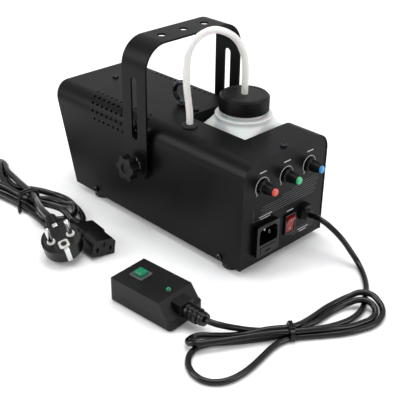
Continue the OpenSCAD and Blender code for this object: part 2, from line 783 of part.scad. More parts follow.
// Side profile of the housing above the seam, with the sloping end at +x
module remote_side(inset) {
    l = remote_l / 2 - inset;
    h = remote_h - inset;
    polygon([[-l, seam_z], [-l, h - 2.5], [-l + 2.5, h], [remote_l / 2 - 13.6 - inset, h], [l - 5.4, seam_z + 2.4],
        [l, seam_z + 1.6], [l, seam_z]]);
}

module remote_plan(inset) {
    rounded_rect(remote_l - 2 * inset, remote_w - 2 * inset, 4.5 - inset);
}

module remote_upper_shell() {
    color([0.08, 0.08, 0.085]) at_remote()
    difference() {
        intersection() {
            along_y(-remote_w / 2, remote_w / 2) remote_side(0);
            linear_extrude(40) remote_plan(0);
        }
        intersection() {
            along_y(-remote_w / 2 + 1.8, remote_w / 2 - 1.8) remote_side(1.8);
            translate([0, 0, -1]) linear_extrude(40) remote_plan(1.8);
        }
        translate([-remote_l / 2 + 1.8, -remote_w / 2 + 1.8, seam_z - 1]) cube([remote_l - 3.6, remote_w - 3.6, 1.1]);
        translate([button_x, 0, remote_h - 4]) linear_extrude(9) rounded_rect(11.4, 11.4, 1);
        translate([15, 0, remote_h - 4]) cylinder(h = 9, d = 3.2);
        translate([0, 0, relief_z]) rod_x(remote_l / 2 - 14, remote_l / 2 + 4, 4.1);
    }
}

module remote_lower_shell() {
    color([0.07, 0.07, 0.075]) at_remote()
    difference() {
        union() {
            translate([0, 0, 1.5]) linear_extrude(seam_z - 1.6) remote_plan(0);
            linear_extrude(1.6) remote_plan(1.5);
        }
        translate([0, 0, 2]) linear_extrude(seam_z) remote_plan(1.8);
        translate([0, 0, relief_z]) rod_x(remote_l / 2 - 14, remote_l / 2 + 4, 4.1);
    }
}

module button_bezel() {
    color([0.35, 0.36, 0.37]) at_remote() translate([button_x, 0, 0]) difference() {
        union() {
            translate([0, 0, remote_h + 0.02]) linear_extrude(1.3) rounded_rect(14.4, 14.4, 1);
            translate([0, 0, remote_h - 6]) linear_extrude(6.1) rounded_rect(11.2, 11.2, 1);
        }
        translate([0, 0, remote_h - 7]) linear_extrude(12) rounded_rect(9.9, 9.9, 0.8);
    }
}

module remote_button() {
    color([0.1, 0.6, 0.4]) at_remote() translate([button_x, 0, 0]) {
        translate([0, 0, remote_h - 3.2]) linear_extrude(7) rounded_rect(9.3, 9.3, 0.8);
        translate([0, 0, remote_h + 3.7]) linear_extrude(1) rounded_rect(7.8, 7.8, 0.8);
    }
}

module remote_board() {
    color([0.1, 0.35, 0.18]) at_remote() difference() {
        translate([-31, -15, 11.5]) cube([54, 30, 1.6]);
        for (s = [-1, 1]) translate([2, s * 10, 5]) cylinder(h = 12, r = 1.6);
    }
    color([0.12, 0.12, 0.13]) at_remote() translate([button_x - 3.6, -3.6, 13]) cube([7.2, 7.2, 3.8]);
    color([0.3, 0.8, 0.5]) at_remote() translate([15, 0, 13]) {
        cylinder(h = 10, r = 1.45);
        translate([0, 0, 9.8]) sphere(1.45);
    }
}

// Ribbed boot that tapers from the housing's end to the cable
module remote_relief() {
    color([0.05, 0.05, 0.05]) at_remote() translate([0, 0, relief_z]) {
        rod_x(remote_l / 2 - 6, remote_l / 2 + 0.1, 4);
        translate([remote_l / 2 + 0.05, 0, 0]) rotate([0, 90, 0])
            cylinder(h = relief_end - remote_l / 2 - 0.05, r1 = 6.2, r2 = 4.4);
        for (k = [0:3]) rod_x(remote_l / 2 + 1.5 + 4.6 * k, remote_l / 2 + 4.1 + 4.6 * k, 7.2 - 0.35 * k);
        rod_x(relief_end - 2.8, relief_end, 5.6);
    }
}

// ---------- free cords ----------

module remote_cable_run() {
    color([0.07, 0.07, 0.07]) tube_along(run_route, cable_d, 8, [0.02, 0.05, 1], 1);
}

module remote_cable_end() {
    color([0.07, 0.07, 0.07]) tube_along(end_route, cable_d, 8, [0.02, 0.05, 1], 1);
}

module lobe(x0, y0, r0, x1, y1, r1, h) {
    hull() {
        translate([x0, y0, 0]) cylinder(h = h, r = r0, $fn = 32);
        translate([x1, y1, 0]) cylinder(h = h, r = r1, $fn = 32);
    }
}

// Outer shape of the tied hank: the looser turns on the far side and the two left-hand folds
module remote_cable_hank() {
    color([0.07, 0.07, 0.07]) {
        lobe(tie_x, tie_y, 9, 237, -27, 29, 13);
        lobe(tie_x, tie_y, 9, 176, -141, 5, 12);
        lobe(tie_x, tie_y, 9, 206, -161, 23, 8);
    }
}

module hank_tie() {
    color([0.05, 0.05, 0.05]) translate([tie_x, tie_y, 9]) rotate([0, 0, -104]) difference() {
        union() {
            rod_x(-2.4, 2.4, 9);
            translate([-3, -3, 8]) cube([6, 6, 4.5]);
        }
        rod_x(-4, 4, 7.8);
    }
}

// ---------- mains lead ----------

// Face at local z = 0 with the pins up, the lead leaving along local +y
module at_plug() {
    translate(plug_at) rotate(plug_turn) children();
}

// Nose's front face at local x = 0
module at_connector() {
    translate(connector_at) rotate(connector_turn) children();
}

module mains_plug() {
    color([0.06, 0.06, 0.06]) at_plug() {
        difference() {
            union() {
                translate([0, 0, -13]) cylinder(h = 13, r = 18.4);
                translate([0, 0, -18]) cylinder(h = 5.1, r1 = 14, r2 = 18.4);
                translate([-10, 6, -14.5]) cube([20, 15, 13]);
            }
            translate([0, -10, -6]) cylinder(h = 10, r = 2.6);
            for (s = [-1, 1]) translate([s * 18.4 - 1.6, -2.6, -11]) cube([3.2, 5.2, 12]);
        }
        translate([0, 20.9, -7.5]) rotate([-90, 0, 0]) cylinder(h = 15.1, r1 = 6.4, r2 = 4.4);
    }
}

module plug_pins() {
    color([0.8, 0.8, 0.78]) at_plug() for (s = [-1, 1]) translate([s * 9.5, 0, 0.05]) {
        cylinder(h = 16.6, d = 4.8);
        translate([0, 0, 16.55]) sphere(d = 4.8);
    }
}

module mains_connector() {
    color([0.06, 0.06, 0.06]) at_connector() difference() {
        union() {
            along_x(-21, 0) chamfered_slot(24, 16.4, 3.4);
            along_x(-40, -20.9) rounded_rect(26, 17, 4);
            translate([-connector_l, 0, 0]) rotate([0, 90, 0]) cylinder(h = 20.1, r1 = 4.4, r2 = 6.5);
        }
        for (p = [[0, 3.4], [-7, -1.6], [7, -1.6]])
            translate([-14, p[0] - 1.2, p[1] - 2.2]) cube([20, 2.4, 4.4]);
    }
}

module mains_hank() {
    color([0.06, 0.06, 0.06]) {
        lobe(mains_tie_x, mains_tie_y, 12, -65, -108, 21, 16);
        lobe(mains_tie_x, mains_tie_y, 12, -201, -116, 28, 13);
    }
}

module mains_tails() {
    color([0.06, 0.06, 0.06]) {
        tube_along(plug_tail_route, lead_d, 8, [0.02, 0.05, 1], 1);
        tube_along(connector_tail_route, lead_d, 8, [0.02, 0.05, 1], 1);
    }
}

cover();
base_plate();
rear_panel();
front_panel();
tank_bay();
heater_block();
heater_jacket();
heater_brackets();
thermostat();
nozzle();
pump_body();
pump_piston();
outlet_pipe();
control_board();
led_board();
led_lenses();
feet();
casing_screws();
eye_bolt();
hose_grommet();
feed_hose();
dip_tube();
bottle();
cap_liner();
bottle_cap();
handle_bracket();
friction_discs();
near_washer();
far_washer();
near_star_knob();
far_star_knob();
inlet_housing();
inlet_pins();
fuse_drawer();
fuse();
switch_frame();
power_rocker();
control_pots();
red_knob();
green_knob();
blue_knob();
red_cap();
green_cap();
blue_cap();
cable_gland();
remote_upper_shell();
remote_lower_shell();
button_bezel();
remote_button();
remote_board();
remote_relief();
remote_cable_run();
remote_cable_hank();
remote_cable_end();
hank_tie();
mains_plug();
plug_pins();
mains_connector();
mains_hank();
mains_tails();
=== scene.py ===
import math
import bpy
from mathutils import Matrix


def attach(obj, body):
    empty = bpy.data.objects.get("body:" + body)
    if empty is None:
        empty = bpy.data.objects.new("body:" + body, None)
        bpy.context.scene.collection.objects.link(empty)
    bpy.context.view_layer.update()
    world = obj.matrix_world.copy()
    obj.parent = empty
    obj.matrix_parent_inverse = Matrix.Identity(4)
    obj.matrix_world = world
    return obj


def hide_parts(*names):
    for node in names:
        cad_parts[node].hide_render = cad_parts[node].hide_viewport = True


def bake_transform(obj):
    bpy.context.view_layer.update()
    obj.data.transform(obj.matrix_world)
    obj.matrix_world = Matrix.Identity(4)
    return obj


bl_info = {
    "name": "Fog machine",
    "version": (1, 0, 0),
    "blender": (4, 5, 0),
    "location": "3D Viewport > Sidebar > Fog machine",
    "description": "Dresses the fog machine, its wired remote and its mains lead around the fixed frame",
    "category": "Object",
}

import bmesh
import bpy
from mathutils import Matrix, Vector

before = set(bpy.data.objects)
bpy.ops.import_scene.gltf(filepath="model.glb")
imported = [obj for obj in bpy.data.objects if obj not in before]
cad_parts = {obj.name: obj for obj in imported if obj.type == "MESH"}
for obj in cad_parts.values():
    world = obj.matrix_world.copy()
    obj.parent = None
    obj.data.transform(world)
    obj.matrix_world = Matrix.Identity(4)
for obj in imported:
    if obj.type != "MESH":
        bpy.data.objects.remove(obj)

MM = 0.001
PER_M = 1000

# Where things stand, in millimetres, as in the part's source
PANEL_FACE = 134.4
# Print stands this close in front of the panel
PRINT_X = PANEL_FACE + 0.02
TANK_XY = (60.7, 21.5)
CAP_Z = 120
INLET_Y = -25.6
SWITCH_AT = (PANEL_FACE - 2, 8.8, 31.6)
ROCKER_TILT = 9
ROCKER_R = 25
ROCKER_AXIS_X = 28.6
KNOB_Z = 84.4
KNOB_PITCH = 32
REMOTE_AT = (114, -139)
REMOTE_TURN = 4.6
REMOTE_H = 24
REMOTE_LAMP_X = 15
PLUG_AT = (1, -154, 23.8)
PLUG_TURN = (16, -14.5, 69)
CONNECTOR_AT = (23.5, -122.3, 9.9)
CONNECTOR_TURN = (-8, 0, -7)

HOSE_ROUTE = [
    (41, -30.3, 84), (41, -30.3, 98), (41, -30.3, 111), (41, -30.6, 124), (40.3, -32, 138),
    (39.8, -33.5, 152), (39.8, -33.5, 166), (40.6, -31.5, 182), (43.4, -24, 194), (48.2, -11, 199.5),
    (53, 2, 196), (57, 13, 187), (59.8, 20, 172), (60.7, 21.5, 158), (60.7, 21.5, 146),
    (60.7, 21.5, 136), (60.7, 21.5, 126),
]

# From the panel's gland through the hank and back to the remote
REMOTE_CABLE_ROUTE = [
    # over the edge of the panel and down to the floor
    (143, 28.5, 35.5), (151, 28.6, 36.2), (159, 28.9, 35.2), (167, 29.9, 31.8), (175, 31.6, 26.6),
    (182, 33.6, 20), (188, 35.2, 13), (194.5, 35.6, 7), (201.5, 32.6, 3.6), (209, 26.8, 2.7),
    (217, 19, 2.7), (224, 10.6, 2.7), (230, 1, 2.7), (235.6, -8, 2.7), (239.8, -17, 2.7),
    (242, -27, 2.7), (242, -37, 2.7), (240, -46, 2.6), (236.5, -56, 2.6), (231.5, -66, 2.6),
    (225.8, -77.5, 2.6),
    # through the tie and round the long lower loop
    (220.5, -87.3, 2.6), (214.5, -98, 2.6), (208.5, -109, 2.6), (201, -120.5, 2.6), (192, -133, 2.6),
    (184.5, -143, 2.6), (181, -152, 2.6), (182, -162, 2.6), (187, -170.5, 2.6), (195, -176.5, 2.6),
    (205, -179, 2.6), (213.5, -177.5, 2.6), (220, -172.5, 2.6), (224.5, -164.5, 2.6),
    (226.5, -153, 2.6), (226, -140, 2.6), (223.5, -124, 2.6), (221.5, -110, 2.6), (222, -99, 2.6),
    (225, -90, 2.6),
    # outer turn on the right
    (231.5, -80.5, 2.6), (241, -67.5, 2.6), (250, -54, 2.6), (256, -41, 2.6), (259.5, -29, 2.6),
    (259, -18.5, 2.8), (254.5, -8.5, 4), (246, -2.5, 6.2), (236.5, -0.5, 7.8), (228, -4, 7.2),
    (222.5, -12, 4.2), (219, -25, 2.7), (217.8, -40, 2.6), (218.3, -55, 2.8), (219.5, -67, 4.6),
    (220.5, -77, 6.8), (217.8, -86.2, 7.2),
    # left fold
    (212.5, -93.5, 7.1), (206, -101.5, 6.2), (198, -111.5, 3.6), (188.5, -124, 2.6), (178.5, -135, 2.6),
    (171, -143, 2.6), (169.3, -151, 3), (174, -157.8, 5.6), (181.5, -156, 7.8), (187, -148, 7.8),
    (194, -136, 7.7), (203, -120.5, 7.7), (211, -106, 7.4), (217, -96.5, 7.2), (222.3, -89.4, 7.2),
    # inner turn on the right
    (229, -80, 7.2), (236, -70, 7.1), (243, -58.5, 5.6), (248, -46, 3.2), (251.5, -33, 2.6),
    (253.5, -22.5, 2.8), (250.5, -13.5, 4.6), (243, -10.5, 7.2), (235, -13.5, 7.6), (228.5, -22, 4.6),
    (225, -35, 2.8), (224.3, -49, 2.6), (223.8, -61, 2.6), (221, -73, 2.6), (216, -83.5, 2.6),
    # up to the remote's boot
    (209.5, -92, 2.6), (202.5, -101, 3), (196, -110, 4.8), (190, -119, 8), (183.5, -127.5, 11.2),
    (176.5, -133, 13), (169.8, -134.5, 13),
]
REMOTE_TIE = (220.3, -87.4)
REMOTE_TIE_TURN = 51.5

# From the connector's boot through three left-hand folds and two right-hand loops to the plug's boot
MAINS_LEAD_ROUTE = [
    # over the right-hand loops and through the tie, then the raised left fold
    (-26.1, -116.2, 9.9), (-33, -115.5, 11), (-41, -115, 14), (-49, -114.6, 16), (-60, -114.2, 15.2),
    (-72, -114, 12.6), (-85, -115, 10.2), (-97, -117, 9.1), (-109, -119, 8.9), (-122, -120.5, 9.2),
    (-140, -121.8, 9.8), (-158, -125, 9.8), (-180, -132, 9.8), (-201, -136.5, 9.8), (-214, -131.5, 9.8),
    (-221, -116, 9.8), (-214, -100.5, 9.8), (-201, -96, 9.8), (-187, -100.5, 9.8), (-172, -109, 8.6),
    (-155, -114, 5), (-138, -115.5, 3.3), (-123, -114.5, 3.3),
    # inner right-hand loop
    (-111, -110.5, 3.3), (-103, -103.5, 3.3), (-94, -97.5, 3.3), (-83, -94.5, 3.4), (-73, -94, 5.6),
    (-63, -94.3, 9), (-54, -97.5, 9.8), (-46, -105.5, 9.8), (-44.6, -115, 9.8), (-49.5, -124, 9.8),
    (-59.5, -129, 9.8), (-70, -128, 9.6), (-82, -124.5, 6.6), (-94, -121.5, 3.8), (-108, -120.4, 3.3),
    # inner left fold
    (-123, -121.3, 3.3), (-140, -123, 3.3), (-158, -127, 3.3), (-180, -132.8, 3.3), (-201, -135.5, 3.3),
    (-214.6, -130, 3.3), (-220.5, -116, 3.3), (-214.6, -102, 3.3), (-201, -96.6, 3.3),
    (-180, -100, 3.3), (-160, -106.5, 3.3), (-145, -109, 4.2), (-130, -108.5, 7.2), (-119, -104.5, 9),
    # outer right-hand loop
    (-112.5, -97.5, 7), (-105, -90.5, 4.2), (-96, -86.5, 3.3), (-85, -85.2, 3.3), (-70, -87.6, 3.3),
    (-53, -92, 3.3), (-40, -98.8, 3.3), (-31.8, -109, 3.3), (-33, -121.5, 3.3), (-42.5, -129.4, 3.3),
    (-56, -131, 3.3), (-72, -129, 3.3), (-90, -127.4, 3.3), (-108, -127.2, 3.3),
    # outer left fold, then along the top of the bundle to the plug
    (-123, -128.4, 3.3), (-139, -130.5, 3.3), (-158, -134.5, 3.3), (-180, -139.5, 3.3),
    (-201, -142, 3.3), (-219.5, -134.6, 3.3), (-227, -116, 3.3), (-219.5, -97.4, 3.8),
    (-205, -89.6, 5.6), (-190, -92.5, 8.8), (-172, -100.5, 10.2), (-150, -105.5, 11.2),
    (-129, -110.5, 13.2), (-107, -115, 14.8), (-87, -122, 17), (-68, -131, 22), (-54, -137, 25),
    (-43, -140.2, 26.2), (-33.5, -141.7, 26.3),
]
MAINS_TIE = (-106, -118.6)
MAINS_TIE_TURN = -12

# Half the spacing of the plug's pins, and the earth socket's place on its face
PIN_HALF_PITCH = 9.5
EARTH_Y = -8.6

# The bottle's outside: height, half width, corner radius
BOTTLE_RINGS = (
    (30.4, 27, 7), (30.7, 30.5, 8), (31.8, 33, 9), (34, 34.3, 9.5), (36, 34.5, 9.5), (60, 34.45, 9.5),
    (92, 34.5, 9.5), (95.5, 34.45, 9.6), (98.2, 33.9, 10), (100.6, 32.6, 11.5), (103, 31, 14),
    (105.6, 29.6, 17.5), (108, 28.7, 21.5), (110.2, 28.1, 25), (112, 27.6, 27.4), (113.2, 27.5, 27.5),
    (115.6, 27.5, 27.5), (116, 27.1, 27.1), (116, 21, 21), (116.4, 20.2, 20.2), (117.5, 20, 20),
    (132, 20, 20), (132.5, 19.5, 19.5),
)
BOTTLE_SEGMENTS = 96
BOTTLE_WALL = 1.2

# The level knobs, by their place left or right of the middle one, and their turned outlines
KNOBS = ((-1, "red"), (0, "green"), (1, "blue"))
KNOB_OUTLINE = (
    (1.5, -8), (1.5, 0.35), (6.5, 0.35), (6.8, 0.8), (6.8, 2.4), (6.45, 3.0), (5.75, 3.25), (5.4, 3.6),
    (5.2, 4.2), (3.75, 13.9), (3.5, 14.4), (0, 14.4),
)
KNOB_CAP_OUTLINE = ((0, 13.6), (3.6, 13.6), (3.62, 14.2), (3.4, 15.5), (3.1, 15.95), (2.6, 16.15), (0, 16.2))
FLUTES = 24
POINTER_FLUTE = 6
# The printed scale round each knob: the arc's radius, its end marks' radius, and how far it turns each way
SCALE_R = 8.7
SCALE_END_R = 9.6
SCALE_TURN = 135

# Short printed labels: middle across, height, width
LABELS = ((SWITCH_AT[1], 45.3, 9), (INLET_Y, 53.6, 17), (INLET_Y, 51.2, 13), (30, 18.6, 15), (30, 16, 10))
RULE_PITCH = 2.4

# Inner pieces that keep the frame's own shape, with what they are made of
INNER_FINISHES = (
    ("base_plate", "powder_coat"), ("tank_bay", "powder_coat"), ("heater_block", "cast_alloy"),
    ("heater_jacket", "insulation"), ("heater_brackets", "plated_steel"), ("thermostat", "ceramic"),
    ("nozzle", "brass"), ("pump_body", "black_plastic"), ("pump_piston", "plated_steel"),
    ("outlet_pipe", "copper"), ("control_board", "circuit_board"), ("led_board", "circuit_board"),
    ("led_lenses", "clear_lens"), ("friction_discs", "black_rubber"), ("dip_tube", "milky_hose"),
    ("cap_liner", "liner_foam"), ("inlet_pins", "plated_steel"), ("fuse", "fuse_glass"),
    ("control_pots", "plated_steel"), ("remote_board", "circuit_board"),
)

# The camera's place in metres, and the ways its right and its top point
CAMERA_AT = (0.5511, -0.5208, 0.4218)
CAMERA_RIGHT = (0.6986, 0.7154, 0.013)
CAMERA_UP = (-0.3525, 0.3283, 0.8763)
CAMERA_LENS = 74.99
CAMERA_SENSOR = 36

SKY_COLOUR = "#F4F5F7"
SKY_STRENGTH = 0.75
# Softboxes: name, where, size, watts, what it points at
SOFTBOXES = (
    ("top softbox", (-0.1, 0.15, 1.5), 1.1, 15, (0, 0, 0.1)),
    ("left softbox", (-0.9, -1.3, 0.9), 0.9, 13, (0, 0, 0.08)),
    ("right softbox", (1.5, 0.5, 0.8), 0.8, 8, (0.05, 0, 0.08)),
)

# Sockets of the mix node in its colour mode
MIX_A, MIX_B, MIX_RESULT = 6, 7, 2
# Size in millimetres of the broad patches over which a finish drifts
DRIFT_SIZE = 38
# Faces that meet within this many degrees are one flat area
FLAT_WITHIN = 0.6


# ---------- colour and nodes ----------


def linear(hex_colour):
    """An sRGB hex colour as the linear RGBA that shaders use."""
    channels = [int(hex_colour[i : i + 2], 16) / 255 for i in (1, 3, 5)]
    return tuple(c / 12.92 if c <= 0.04045 else ((c + 0.055) / 1.055) ** 2.4 for c in channels) + (1.0,)


def add_node(tree, kind, sockets=None, **settings):
    """Adds a node with its settings, and values or links for its inputs."""
    made = tree.nodes.new(kind)
    for key, value in settings.items():
        setattr(made, key, value)
    for key, value in (sockets or {}).items():
        if isinstance(value, bpy.types.NodeSocket):
            tree.links.new(value, made.inputs[key])
        else:
            made.inputs[key].default_value = value
    return made


def per_mm(size):
    """Noise scale on Object coordinates, in metres, for a feature of this many millimetres."""
    return PER_M / size


def finish(name, dark, light, grain, roughness, bump, shader=None):
    """A material whose colour drifts between two shades, with a grain that also lifts the surface.

    grain is the feature size in mm, roughness a low and a high value, bump its height in mm,
    and shader has any other inputs of the surface.
    """
    material = bpy.data.materials.new(name)
    material.use_nodes = True
    tree = material.node_tree
    tree.nodes.clear()
    place = add_node(tree, "ShaderNodeTexCoord").outputs["Object"]
    fine = add_node(tree, "ShaderNodeTexNoise", {"Vector": place, "Scale": per_mm(grain), "Detail": 4.0})
    broad = add_node(tree, "ShaderNodeTexNoise", {"Vector": place, "Scale": per_mm(DRIFT_SIZE), "Detail": 2.0})
    both = add_node(
        tree, "ShaderNodeMath", {0: fine.outputs["Fac"], 1: broad.outputs["Fac"]}, operation="MULTIPLY"
    )
    spread = add_node(
        tree, "ShaderNodeMapRange", {"Value": both.outputs[0], "From Min": 0.15, "From Max": 0.36}
    )
    colour = add_node(
        tree,
        "ShaderNodeMix",
        {"Factor": spread.outputs["Result"], MIX_A: linear(dark), MIX_B: linear(light)},
        data_type="RGBA",
    )
    gloss = add_node(
        tree,
        "ShaderNodeMapRange",
        {
            "Value": broad.outputs["Fac"], "From Min": 0.35, "From Max": 0.65,
            "To Min": roughness[0], "To Max": roughness[1],
        },
    )
    lift = add_node(
        tree,
        "ShaderNodeBump",
        {"Height": fine.outputs["Fac"], "Strength": 0.6, "Distance": bump * MM},
    )
    values = {
        "Base Color": colour.outputs[MIX_RESULT],
        "Roughness": gloss.outputs["Result"],
        "Normal": lift.outputs["Normal"],
    }
    values.update(shader or {})
    surface = add_node(tree, "ShaderNodeBsdfPrincipled", values)
    add_node(tree, "ShaderNodeOutputMaterial", {"Surface": surface.outputs[0]})
    return material


FINISHES = {}


def make_finishes(look):
    """Every finish on the machine, named for the stuff it is."""
    black, grey = look.coat_colour, look.coat_highlight
    # Polyester powder coat baked on steel: a fine orange peel that breaks up a satin sheen
    FINISHES["powder_coat"] = finish(
        "black powder coated steel", black, grey, 0.9, (0.34, 0.4), 0.04, {"Specular IOR Level": 0.12}
    )
    # Sand-cast and trimmed aluminium
    FINISHES["cast_alloy"] = finish(
        "cast aluminium", "#9A9B9D", "#C4C5C7", 1.6, (0.42, 0.6), 0.12, {"Metallic": 1.0}
    )
    # Woven glass fibre mat
    FINISHES["insulation"] = finish("glass fibre mat", "#C6BFAC", "#E4DFCF", 0.8, (0.85, 0.95), 0.3)
    # Zinc plate is a cool grey with a soft spread of light
    FINISHES["plated_steel"] = finish(
        "zinc plated steel", "#A9ABAF", "#D2D4D8", 1.2, (0.2, 0.32), 0.02, {"Metallic": 1.0}
    )
    FINISHES["ceramic"] = finish("glazed ceramic", "#CFC8B8", "#E6E0D2", 3.0, (0.18, 0.26), 0.02)
    FINISHES["brass"] = finish(
        "turned brass", "#B8924A", "#DDBB74", 0.7, (0.22, 0.34), 0.02, {"Metallic": 1.0}
    )
    FINISHES["copper"] = finish(
        "drawn copper tube", "#B0633C", "#D58C63", 0.9, (0.25, 0.38), 0.02, {"Metallic": 1.0}
    )
    # Nylon with a spark-eroded mould texture: nearly matt, greyer on the high points
    FINISHES["black_plastic"] = finish(
        "moulded black nylon", "#050506", "#0D0D0E", 0.7, (0.34, 0.42), 0.04, {"Specular IOR Level": 0.22}
    )
    # ABS from a polished mould
    FINISHES["gloss_black_plastic"] = finish(
        "polished black ABS", "#040404", "#090909", 1.4, (0.2, 0.27), 0.012, {"Specular IOR Level": 0.28}
    )
    FINISHES["grey_plastic"] = finish("moulded grey ABS", "#3F4143", "#5B5D60", 0.7, (0.4, 0.48), 0.03)
    FINISHES["circuit_board"] = finish("green solder mask", "#0E4A2A", "#1A6A3E", 2.4, (0.3, 0.4), 0.03)
    FINISHES["clear_lens"] = finish(
        "clear polycarbonate", "#E9EDF0", "#F7F9FA", 4.0, (0.06, 0.1), 0.005,
        {"Transmission Weight": 0.85, "IOR": 1.585},
    )
    FINISHES["black_rubber"] = finish("matt black rubber", "#070707", "#101010", 0.8, (0.62, 0.72), 0.05)
    # Black oxide on steel under a film of oil
    FINISHES["black_steel"] = finish(
        "oiled black oxide steel", "#16161A", "#3A3A40", 0.9, (0.09, 0.14), 0.015, {"Metallic": 0.8}
    )
    # Plasticised PVC: light goes in and is scattered milky white
    FINISHES["milky_hose"] = finish(
        "milky PVC hose", look.hose_colour, "#ECECE8", 40, (0.2, 0.3), 0.02,
        {"Subsurface Weight": 0.45, "Subsurface Scale": 0.003, "Transmission Weight": 0.12, "IOR": 1.52},
    )
    # Blow-moulded polythene: waxy, slightly uneven, and light shows through its walls
    FINISHES["milky_bottle"] = finish(
        "natural blow moulded polythene", look.bottle_colour, "#DEDFDD", 60, (0.34, 0.42), 0.05,
        {"Subsurface Weight": 0.35, "Subsurface Scale": 0.003, "IOR": 1.53},
    )
    FINISHES["liner_foam"] = finish("white foam liner", "#DAD9D4", "#ECEBE7", 0.6, (0.75, 0.85), 0.08)
    FINISHES["fuse_glass"] = finish(
        "fuse glass", "#DDE2E4", "#EEF1F2", 4.0, (0.08, 0.14), 0.004, {"Transmission Weight": 0.6}
    )
    FINISHES["red_rocker"] = finish(
        "translucent red polycarbonate", look.rocker_colour, "#8E150D", 3.0, (0.16, 0.24), 0.01,
        {"Subsurface Weight": 0.25, "Subsurface Scale": 0.002, "IOR": 1.58, "Specular IOR Level": 0.25},
    )
    for colour, dark, light in (
        ("red", look.red_cap, "#D0483E"), ("green", look.green_cap, "#3BB67C"), ("blue", look.blue_cap, "#3C92CC"),
    ):
        FINISHES[colour + "_plastic"] = finish("moulded " + colour + " cap", dark, light, 0.8, (0.38, 0.46), 0.03)
    FINISHES["green_button"] = finish(
        "translucent green polycarbonate", look.button_colour, "#0F8A5C", 3.0, (0.18, 0.26), 0.01,
        {"Subsurface Weight": 0.2, "Subsurface Scale": 0.002},
    )
    # Soft PVC sheath, extruded: satin, with long unbroken highlights
    FINISHES["cable_rubber"] = finish(
        "black PVC cable sheath", "#040404", "#080809", 1.2, (0.2, 0.26), 0.02, {"Specular IOR Level": 0.36}
    )
    # Screen-printed ink is a little rougher than the coat under it
    FINISHES["pale_ink"] = finish("pale screen ink", "#A9AAAB", "#CBCCCD", 0.5, (0.5, 0.6), 0.01)
    FINISHES["faint_ink"] = finish("thin grey screen ink", "#38393B", "#4B4C4F", 0.5, (0.5, 0.6), 0.01)
    FINISHES["button_white"] = finish("faded white moulded mark", "#93706B", "#A88680", 0.8, (0.4, 0.5), 0.01)
    FINISHES["bright_nickel"] = finish(
        "bright nickel plate", "#C9CACC", "#E8E9EA", 1.0, (0.12, 0.2), 0.01, {"Metallic": 1.0}
    )
    FINISHES["pale_nylon"] = finish("pale nylon insert", "#B8B7B2", "#D4D3CE", 0.8, (0.4, 0.5), 0.02)


# ---------- shaping ----------


def shape():
    return bmesh.new()


def moved(bm, matrix):
    bmesh.ops.transform(bm, matrix=matrix, verts=bm.verts)
    return bm


def at(x=0, y=0, z=0, rx=0, ry=0, rz=0):
    """Placement in millimetres and degrees, turned about X, then Y, then Z."""
    turn = (
        Matrix.Rotation(math.radians(rz), 4, "Z")
        @ Matrix.Rotation(math.radians(ry), 4, "Y")
        @ Matrix.Rotation(math.radians(rx), 4, "X")
    )
    return Matrix.Translation((x, y, z)) @ turn


def turned(profile, segments=48):
    """A shape turned about Z from a profile of (radius, height)."""
    bm = shape()
    verts = [bm.verts.new((r, 0, z)) for r, z in profile]
    edges = [bm.edges.new(pair) for pair in zip(verts, verts[1:])]
    bmesh.ops.spin(
        bm, geom=verts + edges, cent=(0, 0, 0), axis=(0, 0, 1), dvec=(0, 0, 0), angle=math.tau,
        steps=segments, use_merge=True, use_duplicate=False,
    )
    bmesh.ops.remove_doubles(bm, verts=bm.verts, dist=1e-4)
    bmesh.ops.recalc_face_normals(bm, faces=bm.faces)
    return bm


def soften(bm, width, segments=2, angle=32):
    """Rounds every edge sharper than the angle."""
    sharp = [e for e in bm.edges if len(e.link_faces) == 2 and e.calc_face_angle(0) > math.radians(angle)]
    bmesh.ops.bevel(
        bm, geom=sharp, offset=width, offset_type="OFFSET", segments=segments, profile=0.5,
        affect="EDGES", clamp_overlap=True, material=-1,
    )
    return bm


def block(size, centre=(0, 0, 0), corner=0, edge=0):
    """A box with round upright corners and softened edges."""
    bm = shape()
    bmesh.ops.create_cube(bm, size=1)
    bmesh.ops.scale(bm, vec=size, verts=bm.verts)
    if corner:
        upright = [e for e in bm.edges if abs((e.verts[0].co - e.verts[1].co).normalized().z) > 0.9]
        bmesh.ops.bevel(
            bm, geom=upright, offset=corner, offset_type="OFFSET", segments=6, profile=0.5,
            affect="EDGES", clamp_overlap=True, material=-1,
        )
    if edge:
        soften(bm, edge)
    return moved(bm, Matrix.Translation(centre))


def joined(*parts):
    """Several shapes as one."""
    whole = shape()
    for part in parts:
        mesh = bpy.data.meshes.new("part")
        part.to_mesh(mesh)
        part.free()
        whole.from_mesh(mesh)
        bpy.data.meshes.remove(mesh)
    return whole


def smooth_route(points, steps):
    """A smooth line through the points, in millimetres."""
    p = [Vector(q) for q in points]
    line = []
    for i in range(len(p) - 1):
        a, b, c, d = p[max(i - 1, 0)], p[i], p[i + 1], p[min(i + 2, len(p) - 1)]
        for k in range(steps):
            t = k / steps
            square, cube = 2 * a - 5 * b + 4 * c - d, 3 * b - a - 3 * c + d
            line.append(0.5 * (2 * b + (c - a) * t + square * t * t + cube * t**3))
    line.append(p[-1])
    return line


def loop_edges(verts):
    """The edges of a ring, from its points."""
    return list({edge for vert in verts for edge in vert.link_edges})


def rib(radius, shoulder, crest, half):
    """A round rib of a bend guard, thickest at its middle."""
    return turned(
        [(0, -half), (radius + shoulder, -0.6), (radius + crest, 0), (radius + shoulder, 0.6), (0, half)], 24
    )


def squarer(value, power):
    """A sine or cosine pushed outwards, for a section between round and square."""
    return math.copysign(abs(value) ** power, value)


